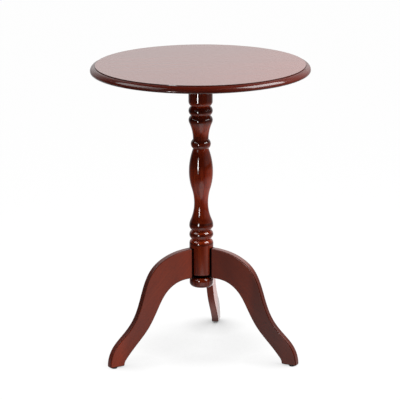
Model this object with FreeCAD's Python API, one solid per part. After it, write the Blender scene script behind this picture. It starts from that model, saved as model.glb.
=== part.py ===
"""Wine table: a round moulded top on a turned column, standing on three sawn legs.

Millimetres, +Z up, with the origin on the floor in the middle of the column.
The legs slide into the drum of the column from below, on dovetails, and the base cap,
which is bolted up into the column, keeps them there.
"""
import FreeCAD, Part
import math
import os

from FreeCAD import Vector

# Overall sizes
TABLE_HEIGHT = 682.0
TOP_DIAMETER = 500.0
TOE_RADIUS = 248.2
LEG_HEIGHT = 250.5          # sole of the foot to the top of the leg

# Where the legs point, in degrees from +X: the back leg is ten degrees off an even third
LEFT_LEG_ANGLE = 210.0
RIGHT_LEG_ANGLE = 330.0
BACK_LEG_ANGLE = 80.0
LEG_ANGLES = {"left": LEFT_LEG_ANGLE, "right": RIGHT_LEG_ANGLE, "back": BACK_LEG_ANGLE}

# Clearances and cuts
FIT_GAP = 0.1               # fastener to bore, on the radius
JOINT_GAP = 0.15            # dovetail to socket
CUT_OVERRUN = 2.0           # how far a cut runs past the face that it opens

# Table top
TOP_THICKNESS = 17.0
RIM_WIDTH = 11.0            # width of the moulding
RIM_STEP = 2.0              # drop from the flat to the moulding
RIM_UNDER_ROUND = 4.5       # rounded lower edge of the board

# Block under the top
BLOCK_DIAMETER = 150.0
BLOCK_THICKNESS = 20.0
BLOCK_ROUND = 4.0

# Screws that hold the block to the top
SCREW_COUNT = 4
SCREW_INSET = 20.0          # from the edge of the block
SCREW_COVER = 4.0           # wood left between the point and the face of the top
SCREW_DIAMETER = 4.2
SCREW_HEAD_DIAMETER = 8.4
SCREW_POINT_LENGTH = 5.0

# Tee nut in the block, and the hanger bolt that joins it to the column
TEE_FLANGE_DIAMETER = 24.0
TEE_FLANGE_THICKNESS = 1.6
TEE_BARREL_DIAMETER = 12.0
TEE_BARREL_COVER = 4.4      # block left below the barrel
HANGER_DIAMETER = 8.0
HANGER_DEPTH = 40.0         # length in the column
HANGER_POINT_LENGTH = 6.0

# Column: diameters
COLUMN_DIAMETER = 55.4      # drum, beads, vase and head, all from one blank
GROOVE_DEPTH = 6.3          # grooves between the beads
COLLAR_DIAMETER = 46.0
NECK_DIAMETER = 35.6
WAIST_DIAMETER = 32.2

# Column: heights of the turnings
DRUM_REVEAL = 8.5           # plain drum above the legs
DRUM_ROUND = 3.0            # rounded lower edge of the drum
RING_HEIGHT = 21.2          # bead above the drum
BEAD_HEIGHT = 21.8          # bead under the head
COLLAR_HEIGHT = 21.5
HEAD_LENGTH = 48.6          # plain head above the beads

# Column: how the bell, the vase and the neck divide what is left of the height
BELL_SHARE = 0.2365
VASE_LOWER_SHARE = 0.327
VASE_UPPER_SHARE = 0.239

# Column: how far along its chord each double curve turns, from its widest point
BELL_TURN_SHARE = 0.24
VASE_TURN_SHARE = 0.54
NECK_TURN_SHARE = 0.13

# Legs
LEG_THICKNESS = 16.0
ROOT_HEIGHT = 70.5          # height of the leg's end, which hangs past the drum
FOOT_LENGTH = 37.0
FOOT_ROUND = 3.0            # rounded corners of the sole
LEG_ROUND = 2.5             # rounded edges of the board
ROOT_EASE = 2.0             # eased end against the drum

# Leg outline as shares of its reach and height: knee, shin, ankle and toe on the outer edge,
# and the arch on the inner edge
LEG_OUTER_SHARES = ((0.333, 0.943), (0.471, 0.856), (0.547, 0.747), (0.630, 0.534), (0.721, 0.374),
                    (0.830, 0.273), (0.943, 0.170))
LEG_INNER_SHARES = ((0.206, 0.981), (0.373, 0.880), (0.520, 0.655), (0.660, 0.423), (0.835, 0.233),
                    (0.962, 0.092))

# Dovetail on the end of each leg
TAIL_DEPTH = 12.0
TAIL_WIDTH = 12.0
TAIL_NECK = 8.0
TAIL_STOP = 6.0             # the tail stops this far below the top of the leg

# Base cap
CAP_DIAMETER = 56.0
CAP_HEIGHT = 24.0
CAP_BAND = 5.0              # upright band between the cap's two rounds
CAP_LEDGE = 1.0             # flat ledge round the land
CAP_LAND_HEIGHT = 6.5       # shadow gap between drum and cap

# Bolt, washer and insert that hold the base cap
CAP_BOLT_DIAMETER = 8.0
CAP_BOLT_END_ROOM = 2.0     # insert left above the end of the bolt
CAP_BOLT_HEAD_DIAMETER = 13.0
CAP_BOLT_HEAD_HEIGHT = 8.0
CAP_BOLT_SOCKET = 6.0       # across the flats
CAP_BOLT_SOCKET_DEPTH = 4.0
CAP_BOLT_RECESS = 1.5       # head below the underside of the cap
WASHER_DIAMETER = 19.0
WASHER_THICKNESS = 1.6
WASHER_CLEARANCE = 1.5      # washer to counterbore, on the radius
INSERT_DIAMETER = 12.0
INSERT_LENGTH = 18.0

# Glides under the toes, and their nails
GLIDE_DIAMETER = 14.0
GLIDE_THICKNESS = 3.0
GLIDE_ROUND = 1.0
GLIDE_SETBACK = 13.4        # centre of the glide from the end of the toe
NAIL_DIAMETER = 2.0
NAIL_LENGTH = 15.0
NAIL_HEAD_DIAMETER = 5.0
NAIL_HEAD_THICKNESS = 1.0
NAIL_RECESS = 0.5           # head above the floor

# Levels, from the floor up
SOLE_Z = GLIDE_THICKNESS
LEG_TOP_Z = SOLE_Z + LEG_HEIGHT
CAP_TOP_Z = LEG_TOP_Z - ROOT_HEIGHT
DRUM_Z = CAP_TOP_Z + CAP_LAND_HEIGHT
CAP_Z = CAP_TOP_Z - CAP_HEIGHT
TOP_Z = TABLE_HEIGHT - TOP_THICKNESS
BLOCK_Z = TOP_Z - BLOCK_THICKNESS
WASHER_Z = CAP_Z + CAP_BOLT_RECESS + CAP_BOLT_HEAD_HEIGHT

# The drum has a flat, as wide as the leg, where each leg butts
FLAT_RADIUS = math.sqrt((COLUMN_DIAMETER / 2) ** 2 - (LEG_THICKNESS / 2) ** 2)
TEE_FLANGE_Z = TOP_Z - TEE_FLANGE_THICKNESS
TEE_BARREL_Z = BLOCK_Z + TEE_BARREL_COVER
SCREW_RADIUS = BLOCK_DIAMETER / 2 - SCREW_INSET
GLIDE_RADIUS = TOE_RADIUS - GLIDE_SETBACK

AXIS = Vector(0, 0, 1)
ORIGIN = Vector(0, 0, 0)


def at(radius, height):
    """Point of an outline in the plane of radius and height."""
    return Vector(radius, 0, height)


def polyline(*points):
    """Straight edges through the points."""
    return [Part.LineSegment(a, b).toShape() for a, b in zip(points, points[1:])]


def swell(crest, end):
    """Arc that stands upright at its crest and runs to the end point."""
    run = end.sub(crest)
    radius = run.dot(run) / (2 * run.x)
    centre = crest.add(Vector(radius, 0, 0))
    middle = crest.add(end).multiply(0.5).sub(centre).normalize()
    return Part.Arc(crest, centre.add(middle.multiply(abs(radius))), end).toShape()


def double_curve(crest, hollow, turn_share):
    """Convex arc from the crest, then concave arc to the hollow, upright at both ends."""
    turn = crest.add(hollow.sub(crest).multiply(turn_share))
    return [swell(crest, turn), swell(hollow, turn)]


def bead(low, high, radius):
    """Round bead between two points of the outline."""
    return Part.Arc(low, at(radius, (low.z + high.z) / 2), high).toShape()


def revolved(edges):
    """Solid of revolution about the axis from a closed outline."""
    wire = Part.Wire(Part.__sortEdges__(edges))
    return Part.Face(wire).revolve(ORIGIN, AXIS, 360)


def rod(diameter, low, high, gap=0):
    """Upright cylinder on the axis, wider all round by the gap."""
    return Part.makeCylinder(diameter / 2 + gap, high - low, at(0, low))


def cone(low_diameter, high_diameter, low, high):
    """Upright cone on the axis."""
    return Part.makeCone(low_diameter / 2, high_diameter / 2, high - low, at(0, low))


def moved(shape, radius, azimuth):
    """Copy of a shape, carried out along an azimuth."""
    copy = shape.copy()
    copy.translate(Vector(radius, 0, 0))
    copy.rotate(ORIGIN, AXIS, azimuth)
    return copy


def screw_places():
    """Azimuths of the block's screws, clear of the axes."""
    step = 360 / SCREW_COUNT
    return [step * (number + 0.5) for number in range(SCREW_COUNT)]


def screw_form(gap=0):
    """Countersunk wood screw on the axis, head down at the block's underside."""
    head_height = (SCREW_HEAD_DIAMETER - SCREW_DIAMETER) / 2
    tip = TABLE_HEIGHT - SCREW_COVER
    head = cone(SCREW_HEAD_DIAMETER + 2 * gap, SCREW_DIAMETER + 2 * gap, BLOCK_Z, BLOCK_Z + head_height)
    shank = rod(SCREW_DIAMETER, BLOCK_Z, tip - SCREW_POINT_LENGTH, gap)
    point = cone(SCREW_DIAMETER + 2 * gap, 0, tip - SCREW_POINT_LENGTH, tip + gap)
    return head.fuse([shank, point]).removeSplitter()


def screw_bores():
    """Pilot holes for all the block's screws."""
    return [moved(screw_form(FIT_GAP), SCREW_RADIUS, azimuth) for azimuth in screw_places()]


def table_top():
    """Round board: a step, a round moulding and a rounded lower edge."""
    radius = TOP_DIAMETER / 2
    flat = radius - RIM_WIDTH
    nose = at(radius, TOP_Z + RIM_UNDER_ROUND)
    quirk = at(flat, TABLE_HEIGHT - RIM_STEP)
    lower = at(radius - RIM_UNDER_ROUND, TOP_Z)
    edges = polyline(lower, at(0, TOP_Z), at(0, TABLE_HEIGHT), at(flat, TABLE_HEIGHT), quirk)
    edges += [swell(nose, quirk), swell(nose, lower)]
    return revolved(edges).cut(screw_bores())


def top_block():
    """Round cleat, rounded below, bored for the tee nut and the screws."""
    radius = BLOCK_DIAMETER / 2
    side = at(radius, BLOCK_Z + BLOCK_ROUND)
    lower = at(radius - BLOCK_ROUND, BLOCK_Z)
    edges = polyline(lower, at(0, BLOCK_Z), at(0, TOP_Z), at(radius, TOP_Z), side)
    disc = revolved(edges + [swell(side, lower)])
    flange_seat = rod(TEE_FLANGE_DIAMETER, TEE_FLANGE_Z, TOP_Z + CUT_OVERRUN, FIT_GAP)
    barrel = rod(TEE_BARREL_DIAMETER, BLOCK_Z - CUT_OVERRUN, TOP_Z, FIT_GAP)
    return disc.cut([flange_seat, barrel] + screw_bores())


def tee_nut():
    """Flanged nut, let into the block from above."""
    flange = rod(TEE_FLANGE_DIAMETER, TEE_FLANGE_Z, TOP_Z)
    barrel = rod(TEE_BARREL_DIAMETER, TEE_BARREL_Z, TEE_FLANGE_Z)
    bore = rod(HANGER_DIAMETER, TEE_BARREL_Z - CUT_OVERRUN, TOP_Z + CUT_OVERRUN, FIT_GAP)
    return flange.fuse(barrel).cut(bore).removeSplitter()


def hanger_form(gap=0):
    """Bolt with a wood point below, from the column into the tee nut."""
    point_z = BLOCK_Z - HANGER_DEPTH
    shank = rod(HANGER_DIAMETER, point_z + HANGER_POINT_LENGTH, TEE_FLANGE_Z, gap)
    point = cone(0, HANGER_DIAMETER + 2 * gap, point_z - gap, point_z + HANGER_POINT_LENGTH)
    return shank.fuse(point).removeSplitter()


def column_blank():
    """Turned post, from the rounded foot of the drum to the head."""
    wide = COLUMN_DIAMETER / 2
    groove = wide - GROOVE_DEPTH
    neck = NECK_DIAMETER / 2

    drum_top = at(wide, LEG_TOP_Z + DRUM_REVEAL)
    ring_low = at(groove, drum_top.z + RING_HEIGHT / 2)
    ring_high = at(groove, ring_low.z + RING_HEIGHT)
    bell = at(wide, ring_high.z + RING_HEIGHT / 2)

    head = at(wide, BLOCK_Z - HEAD_LENGTH)
    bead_high = at(groove, head.z - BEAD_HEIGHT / 2)
    bead_low = at(groove, bead_high.z - BEAD_HEIGHT)
    shoulder = at(wide, bead_low.z - BEAD_HEIGHT / 2)

    run = shoulder.z - bell.z - COLLAR_HEIGHT
    waist = at(WAIST_DIAMETER / 2, bell.z + BELL_SHARE * run)
    belly = at(wide, waist.z + VASE_LOWER_SHARE * run)
    collar_low = at(neck, belly.z + VASE_UPPER_SHARE * run)
    collar_high = at(neck, collar_low.z + COLLAR_HEIGHT)

    foot = at(wide, DRUM_Z + DRUM_ROUND)
    sole = at(wide - DRUM_ROUND, DRUM_Z)
    edges = polyline(sole, at(0, DRUM_Z), at(0, BLOCK_Z), at(wide, BLOCK_Z), head)
    edges += [swell(head, bead_high), bead(bead_low, bead_high, wide), swell(shoulder, bead_low)]
    edges += double_curve(shoulder, collar_high, NECK_TURN_SHARE)
    edges += [bead(collar_low, collar_high, COLLAR_DIAMETER / 2), swell(belly, collar_low)]
    edges += double_curve(belly, waist, VASE_TURN_SHARE)
    edges += double_curve(bell, waist, BELL_TURN_SHARE)
    edges += [swell(bell, ring_high), bead(ring_low, ring_high, wide), swell(drum_top, ring_low)]
    edges += polyline(drum_top, foot) + [swell(foot, sole)]
    return revolved(edges)


def tail(low, high, gap=0):
    """Dovetail prism that points inwards from the flat of the drum, wider by the gap."""
    neck = TAIL_NECK / 2 + gap
    width = TAIL_WIDTH / 2 + gap
    depth = FLAT_RADIUS - TAIL_DEPTH - gap
    corners = ((FLAT_RADIUS, -neck), (depth, -width), (depth, width), (FLAT_RADIUS, neck))
    points = [Vector(x, y, low) for x, y in corners]
    face = Part.Face(Part.makePolygon(points + points[:1]))
    return face.extrude(Vector(0, 0, high - low))


def leg_seat():
    """What is cut from the drum for one leg: the flat and the dovetail socket."""
    low = DRUM_Z - CUT_OVERRUN
    wide = LEG_THICKNESS + 2 * CUT_OVERRUN
    deep = COLUMN_DIAMETER / 2 - FLAT_RADIUS + CUT_OVERRUN
    flat = Part.makeBox(deep, wide, LEG_TOP_Z - low, Vector(FLAT_RADIUS, -wide / 2, low))
    return flat.fuse(tail(low, LEG_TOP_Z - TAIL_STOP + JOINT_GAP, JOINT_GAP))


def column():
    """Turned post with its leg seats, the hanger bolt's hole and the insert's hole."""
    seats = [moved(leg_seat(), 0, azimuth) for azimuth in LEG_ANGLES.values()]
    insert_hole = rod(INSERT_DIAMETER, DRUM_Z - CUT_OVERRUN, DRUM_Z + INSERT_LENGTH, FIT_GAP)
    return column_blank().cut(seats + [insert_hole, hanger_form(FIT_GAP)])


def leg_edge(start, shares, end):
    """Smooth curve along one edge of the leg: level at the drum and upright at the foot."""
    run = end.x - start.x
    rise = start.z - SOLE_Z
    points = [start] + [at(start.x + u * run, SOLE_Z + w * rise) for u, w in shares] + [end]
    tangents = [Vector(1, 0, 0)] + [-AXIS] * (len(points) - 1)
    held = [True] + [False] * len(shares) + [True]
    curve = Part.BSplineCurve()
    curve.interpolate(Points=points, Tangents=tangents, TangentFlags=held, Scale=False)
    return curve.toShape()


def leg_outline():
    """Face of the leg in the plane of radius and height."""
    top = at(FLAT_RADIUS, LEG_TOP_Z)
    under = at(FLAT_RADIUS, CAP_TOP_Z)
    toe = at(TOE_RADIUS, SOLE_Z + FOOT_ROUND)
    heel = at(TOE_RADIUS - FOOT_LENGTH, SOLE_Z + FOOT_ROUND)
    sole_front = at(toe.x - FOOT_ROUND, SOLE_Z)
    sole_back = at(heel.x + FOOT_ROUND, SOLE_Z)
    outer = leg_edge(top, LEG_OUTER_SHARES, toe)
    inner = leg_edge(under, LEG_INNER_SHARES, heel)
    edges = [outer, inner, swell(toe, sole_front), swell(heel, sole_back)]
    edges += polyline(sole_front, sole_back) + polyline(under, top)
    return Part.Face(Part.Wire(Part.__sortEdges__(edges)))


def leg_board():
    """Board of the leg, rounded along its edges and eased round the end that meets the drum."""
    face = leg_outline()
    face.translate(Vector(0, -LEG_THICKNESS / 2, 0))
    board = face.extrude(Vector(0, LEG_THICKNESS, 0))
    broad = [side for side in board.Faces if side.BoundBox.YLength < LEG_ROUND]
    rims = [edge for side in broad for edge in side.Edges if edge.BoundBox.XLength > JOINT_GAP]
    board = board.makeFillet(min(LEG_ROUND, FOOT_ROUND), rims)
    end = [side for side in board.Faces if side.BoundBox.XMax < FLAT_RADIUS + JOINT_GAP]
    return board.makeFillet(ROOT_EASE, end[0].Edges)


def leg():
    """S-shaped leg along +X, with its dovetail and a nail hole in the sole."""
    nail_hole = glide_nail_form(FIT_GAP)
    nail_hole.translate(Vector(GLIDE_RADIUS, 0, 0))
    return leg_board().fuse(tail(DRUM_Z, LEG_TOP_Z - TAIL_STOP)).cut(nail_hole)


def base_cap():
    """Turned button with a raised land, bored and counterbored for its bolt."""
    radius = CAP_DIAMETER / 2
    edge_round = (CAP_HEIGHT - CAP_BAND) / 2
    upper = at(radius, CAP_TOP_Z - edge_round)
    lower = at(radius, CAP_Z + edge_round)
    crown = at(radius - edge_round, CAP_TOP_Z)
    sole = at(radius - edge_round, CAP_Z)
    land = crown.x - CAP_LEDGE
    edges = polyline(sole, at(0, CAP_Z), at(0, DRUM_Z), at(land, DRUM_Z), at(land, CAP_TOP_Z), crown)
    edges += [swell(upper, crown), swell(lower, sole)] + polyline(upper, lower)
    bore = rod(CAP_BOLT_DIAMETER, CAP_Z, DRUM_Z + CUT_OVERRUN, FIT_GAP)
    counterbore = rod(WASHER_DIAMETER, CAP_Z - CUT_OVERRUN, WASHER_Z + WASHER_THICKNESS, WASHER_CLEARANCE)
    return revolved(edges).cut([bore, counterbore])


def cap_washer():
    """Plain washer between the cap and the head of its bolt."""
    top = WASHER_Z + WASHER_THICKNESS
    bore = rod(CAP_BOLT_DIAMETER, WASHER_Z - CUT_OVERRUN, top + CUT_OVERRUN, FIT_GAP)
    return rod(WASHER_DIAMETER, WASHER_Z, top).cut(bore)


def cap_bolt():
    """Socket-head bolt, up through the cap into the column's insert."""
    head_z = WASHER_Z - CAP_BOLT_HEAD_HEIGHT
    head = rod(CAP_BOLT_HEAD_DIAMETER, head_z, WASHER_Z)
    shank = rod(CAP_BOLT_DIAMETER, WASHER_Z, DRUM_Z + INSERT_LENGTH - CAP_BOLT_END_ROOM)
    corner = CAP_BOLT_SOCKET / math.sqrt(3)
    hexagon = [moved(Part.Vertex(at(0, head_z - CUT_OVERRUN)), corner, 60 * side).Point for side in range(7)]
    socket = Part.Face(Part.makePolygon(hexagon)).extrude(at(0, CUT_OVERRUN + CAP_BOLT_SOCKET_DEPTH))
    return head.fuse(shank).cut(socket).removeSplitter()


def column_insert():
    """Threaded insert, flush with the foot of the column."""
    bore = rod(CAP_BOLT_DIAMETER, DRUM_Z - CUT_OVERRUN, DRUM_Z + INSERT_LENGTH + CUT_OVERRUN, FIT_GAP)
    return rod(INSERT_DIAMETER, DRUM_Z, DRUM_Z + INSERT_LENGTH).cut(bore)


def glide_nail_form(gap=0):
    """Flat-headed nail on the axis, head down."""
    head_top = NAIL_RECESS + NAIL_HEAD_THICKNESS
    head = rod(NAIL_HEAD_DIAMETER, NAIL_RECESS, head_top, gap)
    return head.fuse(rod(NAIL_DIAMETER, NAIL_RECESS, NAIL_RECESS + NAIL_LENGTH, gap)).removeSplitter()


def glide():
    """Round glide with a rounded rim and a recess for the head of its nail."""
    radius = GLIDE_DIAMETER / 2
    side = at(radius, GLIDE_ROUND)
    lower = at(radius - GLIDE_ROUND, 0)
    edges = polyline(lower, ORIGIN, at(0, GLIDE_THICKNESS), at(radius, GLIDE_THICKNESS), side)
    disc = revolved(edges + [swell(side, lower)])
    recess = rod(NAIL_HEAD_DIAMETER, -CUT_OVERRUN, NAIL_RECESS + NAIL_HEAD_THICKNESS, FIT_GAP)
    nail = rod(NAIL_DIAMETER, 0, GLIDE_THICKNESS + CUT_OVERRUN, FIT_GAP)
    return disc.cut([recess, nail])


def pieces():
    """All the pieces, by name."""
    made = {
        "table_top": table_top(),
        "top_block": top_block(),
        "tee_nut": tee_nut(),
        "hanger_bolt": hanger_form(),
        "column": column(),
        "column_insert": column_insert(),
        "base_cap": base_cap(),
        "cap_washer": cap_washer(),
        "cap_bolt": cap_bolt(),
    }
    for number, azimuth in enumerate(screw_places(), 1):
        made["block_screw_%d" % number] = moved(screw_form(), SCREW_RADIUS, azimuth)
    for side, azimuth in LEG_ANGLES.items():
        made["leg_" + side] = moved(leg(), 0, azimuth)
        made["glide_" + side] = moved(glide(), GLIDE_RADIUS, azimuth)
        made["glide_nail_" + side] = moved(glide_nail_form(), GLIDE_RADIUS, azimuth)
    return made


os.makedirs("parts", exist_ok=True)
for name, shape in pieces().items():
    shape.exportStep("parts/" + name + ".step")
    print(name, "solids", len(shape.Solids), "volume", round(shape.Volume), "valid", shape.isValid())
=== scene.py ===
# %% [markdown]
# # A wine table, dressed
# The solids of the table come from its CAD frame: a round moulded top, a turned column, three sawn
# legs and the fasteners that hold them. This lesson gives every piece the finish of the real one,
# models the small fittings in more detail, and sets up the studio that the table stands in.

# %% Load the frame
import math

import bmesh
import bpy
from mathutils import Matrix, Vector


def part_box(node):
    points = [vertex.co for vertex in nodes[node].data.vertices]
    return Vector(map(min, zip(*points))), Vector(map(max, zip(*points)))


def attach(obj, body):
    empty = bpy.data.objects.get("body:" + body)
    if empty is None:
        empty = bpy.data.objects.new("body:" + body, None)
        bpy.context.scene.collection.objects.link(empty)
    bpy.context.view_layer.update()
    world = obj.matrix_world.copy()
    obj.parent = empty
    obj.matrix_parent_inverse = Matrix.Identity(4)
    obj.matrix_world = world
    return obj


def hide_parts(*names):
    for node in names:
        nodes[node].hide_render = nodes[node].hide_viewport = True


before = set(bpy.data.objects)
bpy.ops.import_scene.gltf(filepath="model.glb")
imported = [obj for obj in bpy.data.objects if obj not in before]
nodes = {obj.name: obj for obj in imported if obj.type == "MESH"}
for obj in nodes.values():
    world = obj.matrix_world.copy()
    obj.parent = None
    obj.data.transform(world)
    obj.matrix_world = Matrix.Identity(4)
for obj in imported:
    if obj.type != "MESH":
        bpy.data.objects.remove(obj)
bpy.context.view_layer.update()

# %% [markdown]
# ## Camera
# The photograph looks slightly down on the table through a long lens, so the column hardly tapers
# and the top is a slim ellipse. The camera could be aimed by eye, but the ellipse, the lean of the
# column and the three feet fix its place, so it is set to the numbers that were solved from them.

# %% Camera
CAMERA_PLACE = (-0.1134, -4.9987, 1.673)
CAMERA_TILT = math.radians(75.33)
CAMERA_PAN = math.radians(-1.27)
CAMERA_ROLL = math.radians(-0.33)
SENSOR_WIDTH = 36.0
FOCAL_LENGTH = 202.4

camera_data = bpy.data.cameras.new("camera")
camera_data.sensor_width = SENSOR_WIDTH
camera_data.lens = FOCAL_LENGTH
camera = bpy.data.objects.new("camera", camera_data)
bpy.context.scene.collection.objects.link(camera)
camera.matrix_world = (Matrix.Translation(CAMERA_PLACE)
                       @ Matrix.Rotation(CAMERA_PAN, 4, "Z")
                       @ Matrix.Rotation(CAMERA_TILT, 4, "X")
                       @ Matrix.Rotation(CAMERA_ROLL, 4, "Z"))
bpy.context.scene.camera = camera
print("camera looks along", list(camera.matrix_world.to_3x3() @ Vector((0, 0, -1))))

# %% [markdown]
# ## Sizes from the frame
# Finishes and fittings have to land on the solids. Their places could be typed in, but then a change
# of the model would leave them behind. So they are measured on the frame: the box of a piece gives
# its radius, its height and the middle of its underside, and each glide tells where its leg points.


# %% Sizes from the frame
def foot_of(node):
    """Middle of the underside of a piece."""
    low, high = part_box(node)
    return Vector(((low.x + high.x) / 2, (low.y + high.y) / 2, low.z))


def radius_of(node):
    """Radius of a round piece."""
    low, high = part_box(node)
    return max(high.x - low.x, high.y - low.y) / 2


def height_of(node):
    """Height of a piece, from its underside to its top."""
    low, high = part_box(node)
    return high.z - low.z


SIDES = ("left", "right", "back")
leg_angles = {}
for side in SIDES:
    glide = foot_of("glide_" + side)
    leg_angles[side] = math.atan2(glide.y, glide.x)
sole_level = foot_of("leg_left").z
leg_top = sole_level + height_of("leg_left")
print("legs point to", [round(math.degrees(angle), 1) for angle in leg_angles.values()])
print("legs reach up to", leg_top)

# %% [markdown]
# ## Node helpers
# A finish is a small tree of nodes. Adding them by hand takes a line for each node, each value and
# each link, so these helpers take the values and the links together.


# %% Node helpers
def plug(tree, socket, value):
    """Gives a socket a link from another node's output, or else a plain value."""
    if isinstance(value, bpy.types.NodeSocket):
        tree.links.new(value, socket)
    else:
        socket.default_value = value


def feed(tree, node, **sockets):
    """Fills sockets of a node by name, with an underscore for each space."""
    for name, value in sockets.items():
        plug(tree, node.inputs[name.replace("_", " ")], value)


def add(tree, kind, **sockets):
    """Adds a node and fills its sockets."""
    made = tree.nodes.new("ShaderNode" + kind)
    feed(tree, made, **sockets)
    return made


def new_finish(name):
    """New material: itself, its tree and its shader."""
    material = bpy.data.materials.new(name)
    material.use_nodes = True
    tree = material.node_tree
    return material, tree, tree.nodes["Principled BSDF"]


def dress(node, finish):
    """Gives a piece of the frame its finish."""
    nodes[node].material_slots[0].material = finish
    print(node, "wears", finish.name, "of", len(finish.node_tree.nodes), "nodes")


print("helpers made:", [helper.__name__ for helper in (plug, feed, add, new_finish, dress)])

# %% [markdown]
# ## Sums, ramps and mixes
# Most of the nodes work out numbers and colours. Blender finds the sockets of its Math and Mix nodes
# by their order, which is hard to read in a long tree. Here each of them is a call that takes values
# or links and gives its output, so that a finish reads like a sum.

# %% Sums, ramps and mixes
MIX_FACTOR, MIX_FIRST, MIX_SECOND, MIX_RESULT = 0, 6, 7, 2  # sockets of a Mix node for colours


def sum_of(tree, operation, *values):
    """Output of a Math node on one to three values or links."""
    made = add(tree, "Math")
    made.operation = operation
    for socket, value in zip(made.inputs, values):
        plug(tree, socket, value)
    return made.outputs["Value"]


def ramp(tree, factor, *stops):
    """Output of a ramp through stops of a place and a colour or grey."""
    made = add(tree, "ValToRGB", Fac=factor)
    elements = made.color_ramp.elements
    while len(elements) < len(stops):
        elements.new(0.5)
    for element, (place, colour) in zip(elements, stops):
        element.position = place
        element.color = (*colour, 1) if isinstance(colour, tuple) else (colour, colour, colour, 1)
    return made.outputs["Color"]


def mixed(tree, factor, first, second, blend="MIX"):
    """Output of a colour mix of two colours or links."""
    made = add(tree, "Mix")
    made.data_type = "RGBA"
    made.blend_type = blend
    plug(tree, made.inputs[MIX_FACTOR], factor)
    for place, value in ((MIX_FIRST, first), (MIX_SECOND, second)):
        plug(tree, made.inputs[place], (*value, 1) if isinstance(value, tuple) else value)
    return made.outputs[MIX_RESULT]


print("helpers made:", [helper.__name__ for helper in (sum_of, ramp, mixed)])

# %% [markdown]
# ## Wood grain
# Every wooden piece is mahogany. An image of wood would repeat and would need unwrapping, so the
# grain is a solid block of wood in noise instead: each piece looks as if it were cut from that block.
# The block is measured in fibres, long one way and thin the other two, by a Mapping node set to
# Texture, whose scale is then the size of a fibre in metres.

# %% Wood grain
FLAME = {"along": 0.30, "across": 0.030, "detail": 3.0}
STRIPE = {"along": 0.12, "across": 0.0035, "detail": 4.0}
PORE = {"along": 0.010, "across": 0.0006, "detail": 1.0}
FIBRE_ROUGHNESS = 0.55


def fibres(tree, turn, along, across, detail):
    """Noise stretched into fibres of this length and width, along X turned by the given angles."""
    coords = add(tree, "TexCoord").outputs["Object"]
    place = add(tree, "Mapping", Vector=coords, Rotation=turn, Scale=(along, across, across))
    place.vector_type = "TEXTURE"
    noise = add(tree, "TexNoise", Vector=place.outputs["Vector"], Scale=1.0, Detail=detail,
                Roughness=FIBRE_ROUGHNESS)
    return noise.outputs["Fac"]


print("fibres in metres:", FLAME, STRIPE, PORE)

# %% [markdown]
# ## Stain and lacquer
# The wood is stained red, and clear lacquer is sprayed over it. One glossy brown shader would look
# like plastic. So a dull body carries the colour, and the shader's Coat, with a roughness of its own,
# is the lacquer. Broad flames and fine stripes vary the stain, and the pores are dark and slightly
# sunk.

# %% Stain and lacquer
FLAME_SHARE = 0.5
STAIN_FROM, STAIN_TO = 0.36, 0.64
PORE_FROM, PORE_TO = 0.62, 0.70
PORE_STAIN = (0.020, 0.004, 0.002)
PORE_FILL = 0.45
PORE_DEPTH, PORE_BUMP = 0.0002, 0.25
HAZE_SPREAD = 0.12
LACQUER_IOR = 1.5


def mahogany(name, turn, dark, light, gloss, haze, shading, body=0.0):
    """Wood from a dark to a light stain, under a shading, with the roughness of its coat and body."""
    material, tree, shader = new_finish(name)
    flame = fibres(tree, turn, **FLAME)
    stripe = fibres(tree, turn, **STRIPE)
    pore = fibres(tree, turn, **PORE)

    fine = sum_of(tree, "MULTIPLY", stripe, 1.0 - FLAME_SHARE)
    tone = sum_of(tree, "MULTIPLY_ADD", flame, FLAME_SHARE, fine)
    stain = ramp(tree, tone, (STAIN_FROM, dark), (STAIN_TO, light))
    pore_mask = ramp(tree, pore, (PORE_FROM, 0.0), (PORE_TO, 1.0))
    filled = mixed(tree, sum_of(tree, "MULTIPLY", pore_mask, PORE_FILL), stain, PORE_STAIN)
    shaded, bare = shading(tree, filled)
    coat = 1.0 if bare is None else sum_of(tree, "SUBTRACT", 1.0, bare)

    rough = sum_of(tree, "MULTIPLY_ADD", stripe, HAZE_SPREAD, haze - HAZE_SPREAD / 2)
    sunk = sum_of(tree, "MULTIPLY", pore_mask, -1.0)
    bump = add(tree, "Bump", Height=sunk, Strength=PORE_BUMP, Distance=PORE_DEPTH)
    feed(tree, shader, Base_Color=shaded, Roughness=rough, Normal=bump.outputs["Normal"],
         Specular_IOR_Level=body, Coat_Weight=coat, Coat_Roughness=gloss, Coat_IOR=LACQUER_IOR)
    return material


print("pores are", PORE_DEPTH, "m deep")

# %% [markdown]
# ## Places on the wood
# Stain and painted light and shade are heavier in some places than in others. Such places could be
# painted by hand, but a shader can measure instead: how high a point lies, how far from the axis, or
# how far out along a leg and to the side of it. Each of these is one or two vector operations on
# Object coordinates.


# %% Measuring nodes
def between(tree, value, start, end, low=0.0, high=1.0):
    """Straight change from low at the start to high at the end, and level beyond them."""
    made = add(tree, "MapRange", Value=value, From_Min=start, From_Max=end, To_Min=low, To_Max=high)
    return made.outputs["Result"]


def rise(tree, value, start, end, top=1.0):
    """Smooth rise from 0 at the start to the top at the end."""
    made = add(tree, "MapRange", Value=value, From_Min=start, From_Max=end, To_Min=0.0, To_Max=top)
    made.interpolation_type = "SMOOTHSTEP"
    return made.outputs["Result"]


def near(tree, value, place, core, fade):
    """1 within the core distance of a place, falling to 0 at the fade distance."""
    away = sum_of(tree, "ABSOLUTE", sum_of(tree, "SUBTRACT", value, place))
    return rise(tree, away, fade, core)


def measure(tree, operation, vector):
    """Output of a vector operation on the place on the piece, in metres."""
    made = add(tree, "VectorMath")
    made.operation = operation
    for socket, value in zip(made.inputs, (add(tree, "TexCoord").outputs["Object"], vector)):
        plug(tree, socket, value)
    return made.outputs["Value"]


def level(tree):
    """Height above the floor."""
    return measure(tree, "DOT_PRODUCT", (0, 0, 1))


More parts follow.
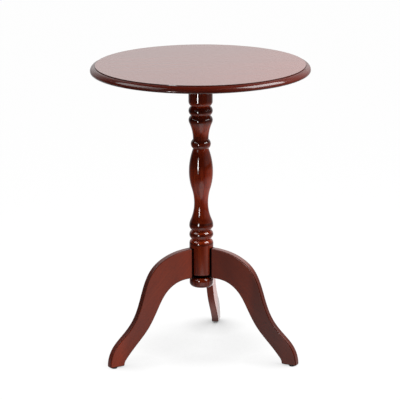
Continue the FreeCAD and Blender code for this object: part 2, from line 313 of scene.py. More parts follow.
def off_axis(tree):
    """Distance from the axis of the column."""
    across = measure(tree, "DOT_PRODUCT", (1, 0, 0))
    along = measure(tree, "DOT_PRODUCT", (0, 1, 0))
    squares = sum_of(tree, "MULTIPLY_ADD", across, across, sum_of(tree, "MULTIPLY", along, along))
    return sum_of(tree, "SQRT", squares)


def heading(tree, angle):
    """Distance out along a compass angle, and distance to the side of it."""
    turns = (angle, angle + math.pi / 2)
    return [measure(tree, "DOT_PRODUCT", (math.cos(turn), math.sin(turn), 0)) for turn in turns]


print("measures made:", [measured.__name__ for measured in (level, off_axis, heading)])

# %% [markdown]
# ## Painted light and shade
# Light and shade are painted into the stain in two ways. A brightness that runs through a few stops
# multiplies the stain, and paints lighter and darker bands of light and shade. A nearly black colour
# is mixed over it where a mask is 1, and paints shade into corners, gaps and creases. Both could be
# painted on. Here both follow the solid.

# %% Toner and glaze
# Nearly black colour that paints shade into corners, gaps and creases.
PAINTED_SHADE = (0.006, 0.0012, 0.0008)


def with_painted_light(tree, colour, value, stops):
    """Colour under painted light and shade that follow a measured value, from stops of a value and a
    brightness.
    """
    first, last = stops[0][0], stops[-1][0]
    strongest = max(tone for place, tone in stops)
    share = between(tree, value, first, last)
    places = [((place - first) / (last - first), tone / strongest) for place, tone in stops]
    # Stops of brightness that paint light and shade onto the stain.
    painted_light = sum_of(tree, "MULTIPLY", ramp(tree, share, *places), strongest)
    return mixed(tree, 1.0, colour, painted_light, "MULTIPLY")


print("glaze:", PAINTED_SHADE)

# %% [markdown]
# ## Turned column
# The column is turned from one piece and lacquered to a high gloss. Light and shade are painted on:
# darker on the beads, lighter in the hollows, and shade on the upper side of each bead and in the
# corners beside the legs, where no lacquer gets in either. All this could be painted on an unwrapped
# mesh, but a turning is the same all round, so heights are enough, and the grain simply stands
# upright.

# %% Turned column
UPRIGHT = (0.0, math.radians(90), 0.0)
DARK_STAIN = (0.100, 0.0065, 0.0012)
LIGHT_STAIN = (0.200, 0.0230, 0.0040)
# Painted light and shade along the column: a brightness for each height.
COLUMN_LIGHT_AND_SHADE = (  # height and brightness
    # drum and ring
    (0.2550, 1.10), (0.2610, 1.00), (0.2690, 1.35), (0.2760, 1.80), (0.2810, 1.00), (0.2900, 0.95),
    # bell and waist
    (0.2985, 1.30), (0.3050, 0.60), (0.3200, 0.55), (0.3270, 0.80), (0.3450, 1.15), (0.3640, 1.62),
    # vase
    (0.3750, 2.05), (0.3930, 2.00), (0.4120, 1.50), (0.4380, 1.15), (0.4470, 0.70), (0.4660, 0.60),
    # collar
    (0.4790, 0.80), (0.4880, 1.40), (0.4950, 0.80), (0.5080, 0.70),
    # neck
    (0.5130, 0.80), (0.5190, 1.50), (0.5240, 2.00), (0.5400, 1.90),
    # beads and head
    (0.5490, 0.90), (0.5640, 1.00), (0.5690, 1.50), (0.5740, 0.75), (0.5900, 2.45), (0.5990, 1.15),
)
# Painted shade on the upper side of each bead.
BEAD_TOPS = (  # height, core and fade
    (0.5785, 0.0030, 0.0065), (0.5570, 0.0030, 0.0062), (0.5050, 0.0012, 0.0042),
    (0.3110, 0.0012, 0.0036), (0.2855, 0.0010, 0.0032), (0.2632, 0.0012, 0.0032),
)
BEAD_TOP_SHADE = 0.55
# Places of the painted shade in the corners beside the legs.
SEAT_FROM, SEAT_TO = leg_top + 0.0007, leg_top - 0.0005
SEAT_START, SEAT_END = 0.0225, 0.0235
SEAT_CORE, SEAT_FADE = 0.0085, 0.0106


def column_shading(tree, colour):
    """Painted light and shade along the turning, painted shade on top of its beads and beside the
    legs.
    """
    height = level(tree)
    colour = with_painted_light(tree, colour, height, COLUMN_LIGHT_AND_SHADE)
    # Painted shade on top of the beads.
    bead_shade = 0.0
    for place, core, fade in BEAD_TOPS:
        bead_shade = sum_of(tree, "MAXIMUM", bead_shade, near(tree, height, place, core, fade))
    colour = mixed(tree, sum_of(tree, "MULTIPLY", bead_shade, BEAD_TOP_SHADE), colour, PAINTED_SHADE)
    # Painted shade in the corners where the legs meet the drum.
    seats = 0.0
    for angle in leg_angles.values():
        out, aside = heading(tree, angle)
        seat = sum_of(tree, "MULTIPLY", rise(tree, out, SEAT_START, SEAT_END),
                      near(tree, aside, 0.0, SEAT_CORE, SEAT_FADE))
        seats = sum_of(tree, "MAXIMUM", seats, seat)
    corners = sum_of(tree, "MULTIPLY", seats, rise(tree, height, SEAT_FROM, SEAT_TO))
    return mixed(tree, corners, colour, PAINTED_SHADE), corners


dress("column", mahogany("mahogany_column_lacquer", UPRIGHT, DARK_STAIN, LIGHT_STAIN,
                         gloss=0.05, haze=0.38, shading=column_shading))

# %% [markdown]
# ## Base cap
# The button under the column is turned and lacquered like it. Only its neck, deep in the gap under
# the drum, gets painted shade and no lacquer. It could be a piece of its own in the dark, but a
# height tells it apart just as well.

# %% Base cap
# Heights of the neck that gets painted shade.
CAP_NECK_FROM, CAP_NECK_TO = 0.1815, 0.1829


def cap_shading(tree, colour):
    """Painted shade on the neck of the cap, deep in the gap."""
    neck = rise(tree, level(tree), CAP_NECK_FROM, CAP_NECK_TO)
    return mixed(tree, neck, colour, PAINTED_SHADE), neck


dress("base_cap", mahogany("mahogany_cap_lacquer", UPRIGHT, DARK_STAIN, LIGHT_STAIN,
                           gloss=0.05, haze=0.38, shading=cap_shading))

# %% [markdown]
# ## Table top
# The flat of the top is rubbed to an even gloss, so it mirrors the pale backdrop and its grain only
# just shows. The moulding is stained darker, and shade is painted into the step inside it. A second
# material on chosen faces would end in a hard line. A mask by the distance from the middle blends one
# stain into the other, and leaves the solid as it is.

# %% Table top
LEVEL = (0.0, 0.0, 0.0)
TOP_DARK_STAIN = (0.158, 0.0130, 0.0024)
TOP_LIGHT_STAIN = (0.192, 0.0190, 0.0036)
TOP_BODY = 0.10
MOULDING_STAIN = (0.25, 0.17, 0.17)
MOULDING_DEPTH, MOULDING_DULL = 0.75, 0.5
MOULDING_FROM, MOULDING_TO, STEP_IN = 0.0120, 0.0100, 0.0109  # in from the edge
# STEP_SHADE is the strength of the shade painted into the step.
STEP_CORE, STEP_FADE, STEP_SHADE = 0.0002, 0.0007, 0.7
top_edge = radius_of("table_top")


def top_shading(tree, colour):
    """Darker stain on the moulding, and painted shade in the step."""
    out = off_axis(tree)
    moulding = rise(tree, out, top_edge - MOULDING_FROM, top_edge - MOULDING_TO, MOULDING_DEPTH)
    colour = mixed(tree, moulding, colour, MOULDING_STAIN, "MULTIPLY")
    # Painted shade in the step.
    step = near(tree, out, top_edge - STEP_IN, STEP_CORE, STEP_FADE)
    step = sum_of(tree, "MULTIPLY", step, STEP_SHADE)
    dull = sum_of(tree, "MAXIMUM", step, sum_of(tree, "MULTIPLY", moulding, MOULDING_DULL))
    return mixed(tree, step, colour, PAINTED_SHADE), dull


dress("table_top", mahogany("mahogany_top_lacquer", LEVEL, TOP_DARK_STAIN, TOP_LIGHT_STAIN,
                            gloss=0.07, haze=0.40, shading=top_shading, body=TOP_BODY))

# %% [markdown]
# ## Block
# The block under the top is out of sight, so its maker only stains it and gives it one thin coat. A
# finish of its own could be made for it, but the same wood with a rough coat will do, turned so that
# its grain doesn't run with that of the top.

# %% Block
BLOCK_TURN = (0.0, 0.0, 0.6)


def plain(tree, colour):
    """No shading."""
    return colour, None


dress("top_block", mahogany("mahogany_block_stain", BLOCK_TURN, DARK_STAIN, LIGHT_STAIN,
                            gloss=0.30, haze=0.55, shading=plain))

# %% [markdown]
# ## Legs
# Each leg is sawn from flat board, with the grain falling at a slant, and has a satin coat. The sawn
# edges are darker, partly stain that the cut grain drinks and partly painted shade, and a painted
# sheen makes the top of the knees pale. Painted shade lies on the soles, along the arrises and on the
# ends at the drum. Each leg has painted light and shade of its own, in stops by the distance out from
# the axis. The edges could be chosen face by face. The distance from the middle of the board finds
# them too.

# %% Legs
GRAIN_FALL = math.radians(44)
LEG_DARK_STAIN = (0.147, 0.0148, 0.0028)
LEG_LIGHT_STAIN = (0.188, 0.0212, 0.0037)
# Painted light and shade along each leg: a brightness for each distance out.
LEG_LIGHT_AND_SHADE = {  # distance out and brightness
    "left": ((0.034, 1.22), (0.075, 0.95), (0.120, 1.10), (0.150, 1.00),
             (0.180, 0.98), (0.200, 1.10), (0.222, 1.70)),
    "right": ((0.033, 1.02), (0.070, 0.78), (0.108, 1.00), (0.126, 1.02),
              (0.142, 0.64), (0.195, 0.58), (0.218, 0.76)),
    "back": ((0.034, 1.30), (0.150, 1.45), (0.178, 1.50), (0.196, 1.00), (0.211, 0.45)),
}
# Darker sawn edges: partly stain in the cut grain, partly painted shade, deepest on the left leg.
EDGE_STAIN_AND_SHADE = (0.45, 0.40, 0.40)
EDGE_STRENGTH = {"left": 0.85, "right": 0.25, "back": 0.30}
EDGE_DULL = {"left": 0.25, "right": 0.08, "back": 0.40}
EDGE_CORE, EDGE_FADE = 0.0066, 0.0078
# Painted sheen on top of the knees, pale like the reflection of the lamps above.
KNEE_SHEEN = (0.36, 0.25, 0.24)
KNEE_SHEEN_STRENGTH = {"left": 0.30, "right": 0.45, "back": 0.30}
KNEE_SHEEN_FROM, KNEE_SHEEN_TO = leg_top - 0.040, leg_top - 0.015
# Painted shade along the arrises, where the coat is also thinned.
ARRIS_PLACE, ARRIS_CORE, ARRIS_FADE = 0.0071, 0.0005, 0.0009
ARRIS_SHADE, ARRIS_DULL = 0.40, 0.85
# Painted contact shadow along the soles.
SOLE_FROM, SOLE_TO, SOLE_SHADOW = sole_level + 0.0032, sole_level + 0.0006, 0.8
# Places of the painted shade on each leg's end beside the drum.
END_FROM, END_TO = radius_of("column") + 0.0043, radius_of("column") + 0.0026


def leg_shading(side):
    """Shading of one leg: painted light and shade along it, darker edges, knee sheen, and painted
    shade.
    """
    def shading(tree, colour):
        height = level(tree)
        out, aside = heading(tree, leg_angles[side])
        colour = with_painted_light(tree, colour, out, LEG_LIGHT_AND_SHADE[side])
        # Darker sawn edges, partly stain and partly painted shade.
        sawn = near(tree, aside, 0.0, EDGE_CORE, EDGE_FADE)
        edge = sum_of(tree, "MULTIPLY", sawn, EDGE_STRENGTH[side])
        colour = mixed(tree, edge, colour, EDGE_STAIN_AND_SHADE, "MULTIPLY")
        # Painted sheen on top of the knees.
        knee = rise(tree, height, KNEE_SHEEN_FROM, KNEE_SHEEN_TO, KNEE_SHEEN_STRENGTH[side])
        colour = mixed(tree, sum_of(tree, "MULTIPLY", sawn, knee), colour, KNEE_SHEEN)
        # Painted contact shadow at the sole.
        colour = mixed(tree, rise(tree, height, SOLE_FROM, SOLE_TO, SOLE_SHADOW), colour, PAINTED_SHADE)
        # Painted shade along the arrises.
        arris = near(tree, sum_of(tree, "ABSOLUTE", aside), ARRIS_PLACE, ARRIS_CORE, ARRIS_FADE)
        colour = mixed(tree, sum_of(tree, "MULTIPLY", arris, ARRIS_SHADE), colour, PAINTED_SHADE)
        # Painted shade on the end beside the drum, where the coat is left off.
        end = rise(tree, out, END_FROM, END_TO)
        dull = sum_of(tree, "MAXIMUM", end, sum_of(tree, "MULTIPLY", sawn, EDGE_DULL[side]))
        dull = sum_of(tree, "MAXIMUM", dull, sum_of(tree, "MULTIPLY", arris, ARRIS_DULL))
        return mixed(tree, end, colour, PAINTED_SHADE), dull
    return shading


for side, angle in leg_angles.items():
    name, turn = "mahogany_leg_%s_satin" % side, (0.0, GRAIN_FALL, angle)
    dress("leg_" + side, mahogany(name, turn, LEG_DARK_STAIN, LEG_LIGHT_STAIN,
                                  gloss=0.35, haze=0.45, shading=leg_shading(side)))

# %% [markdown]
# ## Steel
# The screws, bolts and nails are zinc-plated steel, dull and a little blue. Plain grey metal would
# look like a mirror, so two sizes of noise make it cloudy, as plating is, and scuffed from tumbling
# with its fellows in the plating drum.

# %% Steel
SPECK_DEPTH = 0.0001
ZINC_CLOUDS = {"Scale": 260.0, "Detail": 3.0}
ZINC_SCUFFS = {"Scale": 2200.0, "Detail": 2.0}
ZINC_COLOURS = ((0.35, (0.46, 0.47, 0.48)), (0.65, (0.66, 0.66, 0.64)))
STEEL_WORDS = ("screw", "nail", "bolt", "nut", "insert", "washer")


def speckled(name, patches, specks, colours, smoothest, spread, relief, metal):
    """Finish with patches between two colours, and specks that make its surface rough and uneven."""
    material, tree, shader = new_finish(name)
    coords = add(tree, "TexCoord").outputs["Object"]
    patch = add(tree, "TexNoise", Vector=coords, **patches).outputs["Fac"]
    speck = add(tree, "TexNoise", Vector=coords, **specks).outputs["Fac"]
    rough = sum_of(tree, "MULTIPLY_ADD", speck, spread, smoothest)
    bump = add(tree, "Bump", Height=speck, Strength=relief, Distance=SPECK_DEPTH)
    feed(tree, shader, Base_Color=ramp(tree, patch, *colours), Roughness=rough,
         Normal=bump.outputs["Normal"], Metallic=metal)
    return material


steel_finish = speckled("zinc_plate", ZINC_CLOUDS, ZINC_SCUFFS, ZINC_COLOURS,
                        smoothest=0.22, spread=0.25, relief=0.15, metal=1.0)
for name in nodes:
    if any(word in name for word in STEEL_WORDS):
        dress(name, steel_finish)

# %% [markdown]
# ## Black plastic
# The glides are moulded in black plastic. Pure black would hide their shape, so the colour wanders
# between two very dark greys, rubbed paler in patches, and a fine speck gives the moulded texture.

# %% Black plastic
BLACK_RUBS = {"Scale": 350.0, "Detail": 3.0}
BLACK_SPECKS = {"Scale": 1800.0, "Detail": 2.0}
BLACK_COLOURS = ((0.4, (0.010, 0.010, 0.011)), (0.7, (0.024, 0.023, 0.023)))

plastic_finish = speckled("moulded_black", BLACK_RUBS, BLACK_SPECKS, BLACK_COLOURS,
                          smoothest=0.38, spread=0.2, relief=0.2, metal=0.0)
for side in SIDES:
    dress("glide_" + side, plastic_finish)

# %% [markdown]
# ## Small fittings
# Turned over, the table shows its fasteners. The solids of the frame have their sizes but not their
# recesses and soft edges, so new pieces stand for them. Recesses could be cut with booleans. Filling
# the face between two outlines, and drawing each outline out to its depth, gives the same shape with
# cleaner faces. These helpers draw the outlines, and hand a finished shape over to the frame.

# %% Helpers for fittings
SHARP_ANGLE = math.radians(32)


def ring(shape, radius, count):
    """Edges of a circle round the axis, level with the floor."""
    verts = bmesh.ops.create_circle(shape, segments=count, radius=radius)["verts"]
    return list(dict.fromkeys(edge for vert in verts for edge in vert.link_edges))


def drawn(shape, edges, lift, spread):
    """Loop of edges extruded upwards and scaled about the axis: its new edges."""
    made = bmesh.ops.extrude_edge_only(shape, edges=edges)["geom"]
    verts = [item for item in made if isinstance(item, bmesh.types.BMVert)]
    bmesh.ops.scale(shape, vec=(spread, spread, 1.0), verts=verts)
    bmesh.ops.translate(shape, vec=(0.0, 0.0, lift), verts=verts)
    return [item for item in made
            if isinstance(item, bmesh.types.BMEdge) and all(vert in verts for vert in item.verts)]


def fitting(node, shape):
    """Steel piece from a finished shape, moved to where the CAD node stands that it replaces."""
    bmesh.ops.recalc_face_normals(shape, faces=shape.faces)
    bmesh.ops.translate(shape, vec=foot_of(node), verts=shape.verts)
    mesh = bpy.data.meshes.new(node + "_detail")
    shape.to_mesh(mesh)
    shape.free()
    mesh.shade_smooth()
    mesh.set_sharp_from_angle(angle=SHARP_ANGLE)
    mesh.materials.append(steel_finish)
    piece = bpy.data.objects.new(node + "_detail", mesh)
    bpy.context.scene.collection.objects.link(piece)
    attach(piece, "root")
    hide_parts(node)
    print(piece.name, "faces:", len(mesh.polygons))


print("helpers made:", [helper.__name__ for helper in (ring, drawn, fitting)])

# %% [markdown]
# ## Cross-head screws
# Four countersunk screws hold the block to the top. The cross of the recess starts as a small square,
# whose four edges are extruded into arms. That is the floor of the recess. Its outline is drawn down
# to the face of the head, and the face is filled between it and the rim. No two screws stop at the
# same turn, so each is turned a little further than the last.

# %% Cross-head screws
SCREW_SHANK_RADIUS, SCREW_POINT_LENGTH, SCREW_POINT_SPREAD = 0.0021, 0.0050, 0.04
CROSS_REACH, CROSS_HALF, CROSS_DEPTH, CROSS_TAPER = 0.0023, 0.00055, 0.0016, 0.72
SCREW_TURN = 1.1
SCREW_COUNT, RIM_SIDES = 4, 40


def cross_recess(shape):
    """Recess of a screw head: edges of its mouth, at the level of the head's face."""
    bmesh.ops.create_grid(shape, x_segments=1, y_segments=1, size=CROSS_HALF * CROSS_TAPER)
    for edge in list(shape.edges):
        outward = (edge.verts[0].co + edge.verts[1].co).normalized()
        arm = bmesh.ops.extrude_edge_only(shape, edges=[edge])["geom"]
        tips = [item for item in arm if isinstance(item, bmesh.types.BMVert)]
        bmesh.ops.translate(shape, vec=outward * (CROSS_REACH - CROSS_HALF) * CROSS_TAPER, verts=tips)
    bmesh.ops.translate(shape, vec=(0.0, 0.0, CROSS_DEPTH), verts=shape.verts)
    outline = [edge for edge in shape.edges if edge.is_boundary]
    return drawn(shape, outline, -CROSS_DEPTH, 1 / CROSS_TAPER)


for number in range(1, SCREW_COUNT + 1):
    node = "block_screw_%d" % number
    head, length = radius_of(node), height_of(node)
    cone = head - SCREW_SHANK_RADIUS
    shape = bmesh.new()
    mouth = cross_recess(shape)
    rim = ring(shape, head, RIM_SIDES)
    bmesh.ops.triangle_fill(shape, use_beauty=True, edges=rim + mouth)
    neck = drawn(shape, rim, cone, SCREW_SHANK_RADIUS / head)
    shank = drawn(shape, neck, length - cone - SCREW_POINT_LENGTH, 1.0)
    point = drawn(shape, shank, SCREW_POINT_LENGTH, SCREW_POINT_SPREAD)
    bmesh.ops.contextual_create(shape, geom=point)
    driven = Matrix.Rotation(SCREW_TURN * number, 3, "Z")
    bmesh.ops.rotate(shape, cent=(0.0, 0.0, 0.0), matrix=driven, verts=shape.verts)
    fitting(node, shape)

# %% [markdown]
# ## Socket bolt
# The bolt of the base cap has a six-sided socket with an eased mouth, and a knurled head for fingers.
# The knurl could be a bump in the material, but it shows on the outline, so every other corner of the
# head's edge is drawn in before the head is extruded.

# %% Socket bolt
BOLT_FACE_RADIUS, BOLT_SHANK_RADIUS, BOLT_EASE = 0.0057, 0.0040, 0.0007
SOCKET_CORNER, SOCKET_EASE, SOCKET_DEPTH = 0.00346, 0.0003, 0.0040
SOCKET_SIDES = 6
KNURL_COUNT, KNURL_SPREAD = 36, 0.965

head, length = radius_of("cap_bolt"), height_of("cap_bolt")
head_height = foot_of("cap_washer").z - foot_of("cap_bolt").z
shape = bmesh.new()
face = ring(shape, BOLT_FACE_RADIUS, 2 * KNURL_COUNT)
mouth = ring(shape, SOCKET_CORNER + SOCKET_EASE, SOCKET_SIDES)
bmesh.ops.triangle_fill(shape, use_beauty=True, edges=face + mouth)
wall = drawn(shape, mouth, SOCKET_EASE, SOCKET_CORNER / (SOCKET_CORNER + SOCKET_EASE))
bmesh.ops.contextual_create(shape, geom=drawn(shape, wall, SOCKET_DEPTH - SOCKET_EASE, 1.0))
knurl = drawn(shape, face, BOLT_EASE, head / BOLT_FACE_RADIUS)
corners = {vert for edge in knurl for vert in edge.verts}
round_the_head = sorted(corners, key=lambda vert: math.atan2(vert.co.y, vert.co.x))
bmesh.ops.scale(shape, vec=(KNURL_SPREAD, KNURL_SPREAD, 1.0), verts=round_the_head[::2])
shoulder = drawn(shape, knurl, head_height - BOLT_EASE, 1.0)
under = drawn(shape, shoulder, 0.0, BOLT_SHANK_RADIUS / head)
bmesh.ops.contextual_create(shape, geom=drawn(shape, under, length - head_height, 1.0))
fitting("cap_bolt", shape)

# %% [markdown]
# ## Washer
# The washer under the bolt's head is punched from sheet, so its lower edges are rolled round and its
# upper ones are square. It could be a ring with a bevel all over. A profile spun round the axis can
# round one side only.

# %% Washer
WASHER_BORE, WASHER_ROLL = 0.0041, 0.0004
SPIN_STEPS, MERGE_WITHIN = 40, 1e-6


def spun(profile):
    """Shape of revolution: a profile of radii and heights, spun round the axis."""
    shape = bmesh.new()
    verts = [shape.verts.new((radius, 0.0, height)) for radius, height in profile]
    edges = [shape.edges.new(pair) for pair in zip(verts, verts[1:])]
    bmesh.ops.spin(shape, geom=verts + edges, axis=(0.0, 0.0, 1.0), cent=(0.0, 0.0, 0.0),
                   angle=2 * math.pi, steps=SPIN_STEPS, use_merge=True)
    bmesh.ops.remove_doubles(shape, verts=shape.verts, dist=MERGE_WITHIN)
    return shape


edge, thick = radius_of("cap_washer"), height_of("cap_washer")
washer = ((WASHER_BORE, thick), (WASHER_BORE, WASHER_ROLL / 2), (WASHER_BORE + WASHER_ROLL / 2, 0.0),
          (edge - WASHER_ROLL, 0.0), (edge - WASHER_ROLL / 4, WASHER_ROLL / 4), (edge, WASHER_ROLL),
          (edge, thick), (WASHER_BORE, thick))
fitting("cap_washer", spun(washer))

# %% [markdown]
# ## Nails
# A nail holds each glide. Its head is domed, so that it rides clear of the floor. Half of a squashed
# ball would do for the dome. The same spin as for the washer makes head, shank and point in one.

# %% Nails
DOME = ((0.0, 0.0), (0.0010, 0.00005), (0.0018, 0.0002), (0.0023, 0.00045))
NAIL_EDGE, NAIL_HEAD_HEIGHT = 0.0008, 0.0010
NAIL_EASE, NAIL_SHANK_RADIUS, NAIL_POINT_LENGTH = 0.0001, 0.0010, 0.0030

for side in SIDES:
    node = "glide_nail_" + side
    head, length = radius_of(node), height_of(node)
    nail = (*DOME, (head, NAIL_EDGE), (head - NAIL_EASE, NAIL_HEAD_HEIGHT),
            (NAIL_SHANK_RADIUS, NAIL_HEAD_HEIGHT), (NAIL_SHANK_RADIUS, length - NAIL_POINT_LENGTH),
            (0.0, length))
    fitting(node, spun(nail))

# %% [markdown]
# ## Light on the sheet
# The table stands on a white sheet in a studio that is dark on the camera's side. A bright sheet all
# round would light the column from below and wash it out. So what the lacquer mirrors is kept apart
# from what the camera sees: pools of light on a dark floor, and the foot of the white backdrop behind
# the table.

# %% Light on the sheet
POOLS = (  # middle, edge, core and brightness
    ((0.05, -0.45, 0.0), 0.42, 0.15, 1.15),
    ((0.00, -0.10, 0.0), 0.95, 0.30, 0.45),
    ((0.62, 0.00, 0.0), 1.15, 0.20, 0.75),
    ((2.20, 0.00, 0.0), 1.70, 1.20, 0.24),
    ((0.15, 0.52, 0.0), 0.45, 0.26, 2.00),
)
DARK_FLOOR = 0.05
BACKDROP_TILT = 0.10
BACKDROP_FROM, BACKDROP_TO = 0.33, 0.93
BACKDROP_FOOT_FROM, BACKDROP_FOOT_TO = 0.20, 0.60
HORIZON = 0.60


def white_behind(tree, facing):
    """White of the backdrop, from how far a direction points away from the camera."""
    return between(tree, facing, BACKDROP_FROM, BACKDROP_TO)


def mirrored_sheet(tree):
    """Brightness of the floor as the lacquer mirrors it."""
    out = off_axis(tree)
    facing = sum_of(tree, "DIVIDE", measure(tree, "DOT_PRODUCT", (BACKDROP_TILT, 1, 0)), out)
    foot = rise(tree, out, BACKDROP_FOOT_FROM, BACKDROP_FOOT_TO, HORIZON)
    backdrop = sum_of(tree, "MULTIPLY", white_behind(tree, facing), foot)
    bright = sum_of(tree, "MAXIMUM", backdrop, DARK_FLOOR)
    for place, edge, core, glow in POOLS:
        pool = rise(tree, measure(tree, "DISTANCE", place), edge, core, glow)
        bright = sum_of(tree, "MAXIMUM", bright, pool)
    return bright


print("pools of light:", len(POOLS))

# %% [markdown]
# ## Shade on the sheet
# Large soft lamps leave no hard shadow. The photograph only shows a pale shade between the feet, and
# a darker touch at each of them. Lamps alone could make it, but they would grey the whole sheet. An
# Ambient Occlusion node tells how closed in a place is, once for a wide reach and once for a near
# one, and the sheet gets darker there.

# %% Shade on the sheet
SHEET_WHITE = 0.98
SHEET_LIT = (0.06, 0.06, 0.06, 1.0)
SHADE_MIDDLE = (0.0, 0.05, 0.0)
SHADES = ((0.24, 0.24, 0.08, 1.00), (0.08, 0.30, 0.22, 0.55))  # reach, edge, core and depth


def shaded_sheet(tree):
    """Brightness of the floor as the camera sees it, darker where the table closes it in."""
    bright = SHEET_WHITE
    for reach, edge, core, depth in SHADES:
        open_sky = add(tree, "AmbientOcclusion", Distance=reach).outputs["AO"]
        hollow = sum_of(tree, "SUBTRACT", 1.0, open_sky)
        under = rise(tree, measure(tree, "DISTANCE", SHADE_MIDDLE), edge, core, depth)
        bright = sum_of(tree, "SUBTRACT", bright, sum_of(tree, "MULTIPLY", hollow, under))
    return bright


print("shades:", len(SHADES))

# %% [markdown]
# ## Floor
# The floor is one large square, so that its edge is never seen. Light Path tells a ray of the camera
# from all others, and picks the white sheet or its mirrored light. A second floor that the camera
# can't see would do the same, with two squares in one place. From below the sheet is clear, so that
# the underside of the table can be looked at.


# %% Floor
def straight_ray(tree):
    """1 for a ray from the camera, straight or through glass."""
    path = add(tree, "LightPath").outputs
    return sum_of(tree, "MAXIMUM", path["Is Camera Ray"], path["Is Transmission Ray"])


def white_sheet():
    """Floor that is white to the camera, keeps the table's shadow, and is clear from below."""
    material, tree, shader = new_finish("white_sheet")
    tree.nodes.remove(shader)
    mirrored = add(tree, "Emission", Strength=mirrored_sheet(tree))
    glow = add(tree, "Emission", Strength=shaded_sheet(tree))
    lit = add(tree, "BsdfDiffuse", Color=SHEET_LIT)
    seen = add(tree, "AddShader")
    tree.links.new(lit.outputs[0], seen.inputs[0])
    tree.links.new(glow.outputs[0], seen.inputs[1])

    above = add(tree, "MixShader", Fac=straight_ray(tree))
    tree.links.new(mirrored.outputs[0], above.inputs[1])
    tree.links.new(seen.outputs[0], above.inputs[2])
    sheet = add(tree, "MixShader", Fac=add(tree, "NewGeometry").outputs["Backfacing"])
    tree.links.new(above.outputs[0], sheet.inputs[1])
    tree.links.new(add(tree, "BsdfTransparent").outputs[0], sheet.inputs[2])
    tree.links.new(sheet.outputs[0], tree.nodes["Material Output"].inputs["Surface"])
    return material


FLOOR_HALF = 12.0
shape = bmesh.new()
bmesh.ops.create_grid(shape, x_segments=1, y_segments=1, size=FLOOR_HALF)
floor_mesh = bpy.data.meshes.new("floor")
shape.to_mesh(floor_mesh)
shape.free()
floor_mesh.materials.append(white_sheet())
floor = bpy.data.objects.new("floor", floor_mesh)
bpy.context.scene.collection.objects.link(floor)
print("floor is", 2 * FLOOR_HALF, "m wide")

# %% [markdown]
# ## Room
# Behind the table hangs a white backdrop, to the right is a pale wall, and the rest of the studio is
# dark, which is what makes the column look deep. Walls could be modelled, but only their mirror image
# counts, so the world's colour follows the direction instead. To the camera it is all white.

# %% Room
DARK_ROOM = (0.02, 0.02, 0.02)
WHITE = (1.0, 1.0, 1.0)
BACKDROP_HIGH, BACKDROP_FULL = 0.95, 0.32
HORIZON_TOP = 0.16
WALL_FROM, WALL_TO, WALL_PALE = 0.40, 0.90, 0.32
WALL_HIGH, WALL_FULL = 0.45, 0.20

world = bpy.data.worlds.new("studio")
bpy.context.scene.world = world
world.use_nodes = True
tree = world.node_tree
sides = add(tree, "SeparateXYZ", Vector=add(tree, "TexCoord").outputs["Generated"]).outputs
facing = sum_of(tree, "MULTIPLY_ADD", sides["X"], BACKDROP_TILT, sides["Y"])
hung = sum_of(tree, "MULTIPLY", white_behind(tree, facing),
              between(tree, sides["Z"], BACKDROP_HIGH, BACKDROP_FULL))
backdrop = sum_of(tree, "MULTIPLY", hung, between(tree, sides["Z"], 0.0, HORIZON_TOP, HORIZON, 1.0))
wall = sum_of(tree, "MULTIPLY", between(tree, sides["X"], WALL_FROM, WALL_TO, 0.0, WALL_PALE),
              between(tree, sides["Z"], WALL_HIGH, WALL_FULL))
room = mixed(tree, sum_of(tree, "MAXIMUM", backdrop, wall), DARK_ROOM, WHITE)
tree.links.new(mixed(tree, straight_ray(tree), room, WHITE), tree.nodes["Background"].inputs["Color"])
print("room of", len(tree.nodes), "nodes")

# %% [markdown]
# ## Lamps
# The highlights in the photograph tell where the lamps stood. A streak on a turned surface is a
# mirror image of its lamp, so each place on the wood gives a direction. Point lamps would only leave
# dots there, so all lamps are softboxes. Each is given the brightness of its mirror image, and the
# power that a lamp of that size needs is worked out from it.


# %% Lamps
def softbox(name, place, aim, width, height, glow):
    """Rectangular lamp of this brightness, as seen in a mirror, at a place and aimed at a point."""
    data = bpy.data.lights.new(name, "AREA")
    data.shape = "RECTANGLE"
    data.size = width
    data.size_y = height
    data.energy = glow * math.pi * width * height
    lamp = bpy.data.objects.new(name, data)
    bpy.context.scene.collection.objects.link(lamp)
    lamp.location = place
    lamp.rotation_euler = (Vector(aim) - Vector(place)).to_track_quat("-Z", "Y").to_euler()
    lamp.visible_camera = False
    print(name, "at", place, "glow", glow)
    return lamp


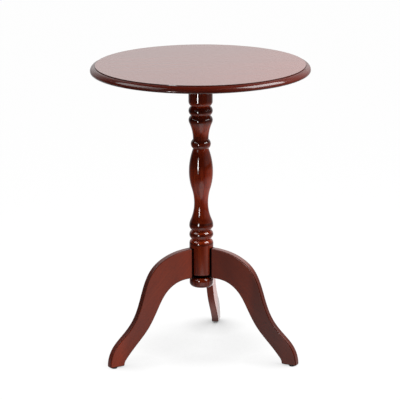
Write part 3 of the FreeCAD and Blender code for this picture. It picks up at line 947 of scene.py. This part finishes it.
print("helper made:", softbox.__name__)

# %% [markdown]
# ## Streak on the column
# The long streak on the column is bright in the middle and fades to its ends, which one lamp can't
# give. An image on the lamp could. Here three strips of different lengths stand one behind the other
# instead. They only make the streak, and a soft fill in the same place lights the wood.

# %% Streak on the column
STRIP_ANGLE = math.radians(241.8)
STRIP_LEVEL = 0.47
STRIP_AIM = (0.0, 0.0, STRIP_LEVEL)
STRIP_WIDTH, FILL_WIDTH = 0.15, 0.20
STRIPS = (  # name, distance, height and brightness
    ("strip_core", 1.10, 0.30, 16.0),
    ("strip_middle", 1.11, 0.40, 8.0),
    ("strip_ends", 1.12, 0.52, 5.0),
)
FILL_AWAY, FILL_HEIGHT, FILL_GLOW = 1.10, 0.50, 2.0


def strip_place(away):
    """Place of a strip at this distance from the axis."""
    return (away * math.cos(STRIP_ANGLE), away * math.sin(STRIP_ANGLE), STRIP_LEVEL)


for name, away, height, glow in STRIPS:
    strip = softbox(name, strip_place(away), STRIP_AIM, STRIP_WIDTH, height, glow)
    strip.visible_diffuse = False
fill = softbox("strip_fill", strip_place(FILL_AWAY), STRIP_AIM, FILL_WIDTH, FILL_HEIGHT, FILL_GLOW)
fill.visible_glossy = False

# %% [markdown]
# ## Boxes
# Short highlights on the beads, the ring and the cap show more lamps above the table, a strong one at
# the right and two weak ones at the left. One large lamp overhead would be simpler, but then a bead
# would carry one highlight, and in the photograph it carries two.

# %% Boxes
BOX_AIM = (0.0, 0.0, 0.45)
BOXES = (  # name, place, width, height and brightness
    ("right_box", (0.87, -0.33, 1.25), 0.84, 0.70, 12.5),
    ("left_box", (-0.93, -0.20, 1.25), 0.62, 0.62, 4.8),
    ("left_front_box", (-0.72, -0.60, 1.15), 0.34, 0.62, 1.9),
)
for name, place, width, height, glow in BOXES:
    softbox(name, place, BOX_AIM, width, height, glow)

# %% [markdown]
# ## Colour
# A filmic view would wash out the red of the wood, so colours are shown as they are.

# %% Colour
bpy.context.scene.view_settings.view_transform = "Standard"
